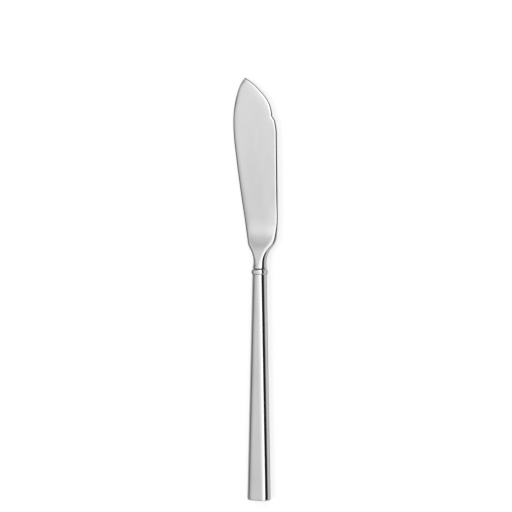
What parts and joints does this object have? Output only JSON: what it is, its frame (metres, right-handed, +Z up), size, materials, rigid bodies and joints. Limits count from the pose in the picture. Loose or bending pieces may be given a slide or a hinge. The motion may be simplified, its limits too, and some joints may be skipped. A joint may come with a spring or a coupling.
{
  "type": "fish knife",
  "caption": "Fish knife with a flat curved blade notched on its back near the tip, a neck that swells into a beaded collar, and a plain hollow handle that widens to a flat butt.",
  "frame": {"origin": "under the middle of the knife's length and width, on the table it lies on", "axes": "+Y from the butt to the tip, +X from the cutting edge to the spine, +Z up from the table"},
  "size_m": [0.0238, 0.21, 0.008],
  "materials": {
    "blade_steel": "polished stainless steel",
    "handle_steel": "polished stainless steel",
    "cement": "matt"
  },
  "bodies": {
    "root": {"blade": "blade_steel", "collar": "handle_steel", "handle_front": "handle_steel", "handle_back": "handle_steel", "core": "cement"}
  },
  "joints": []
}
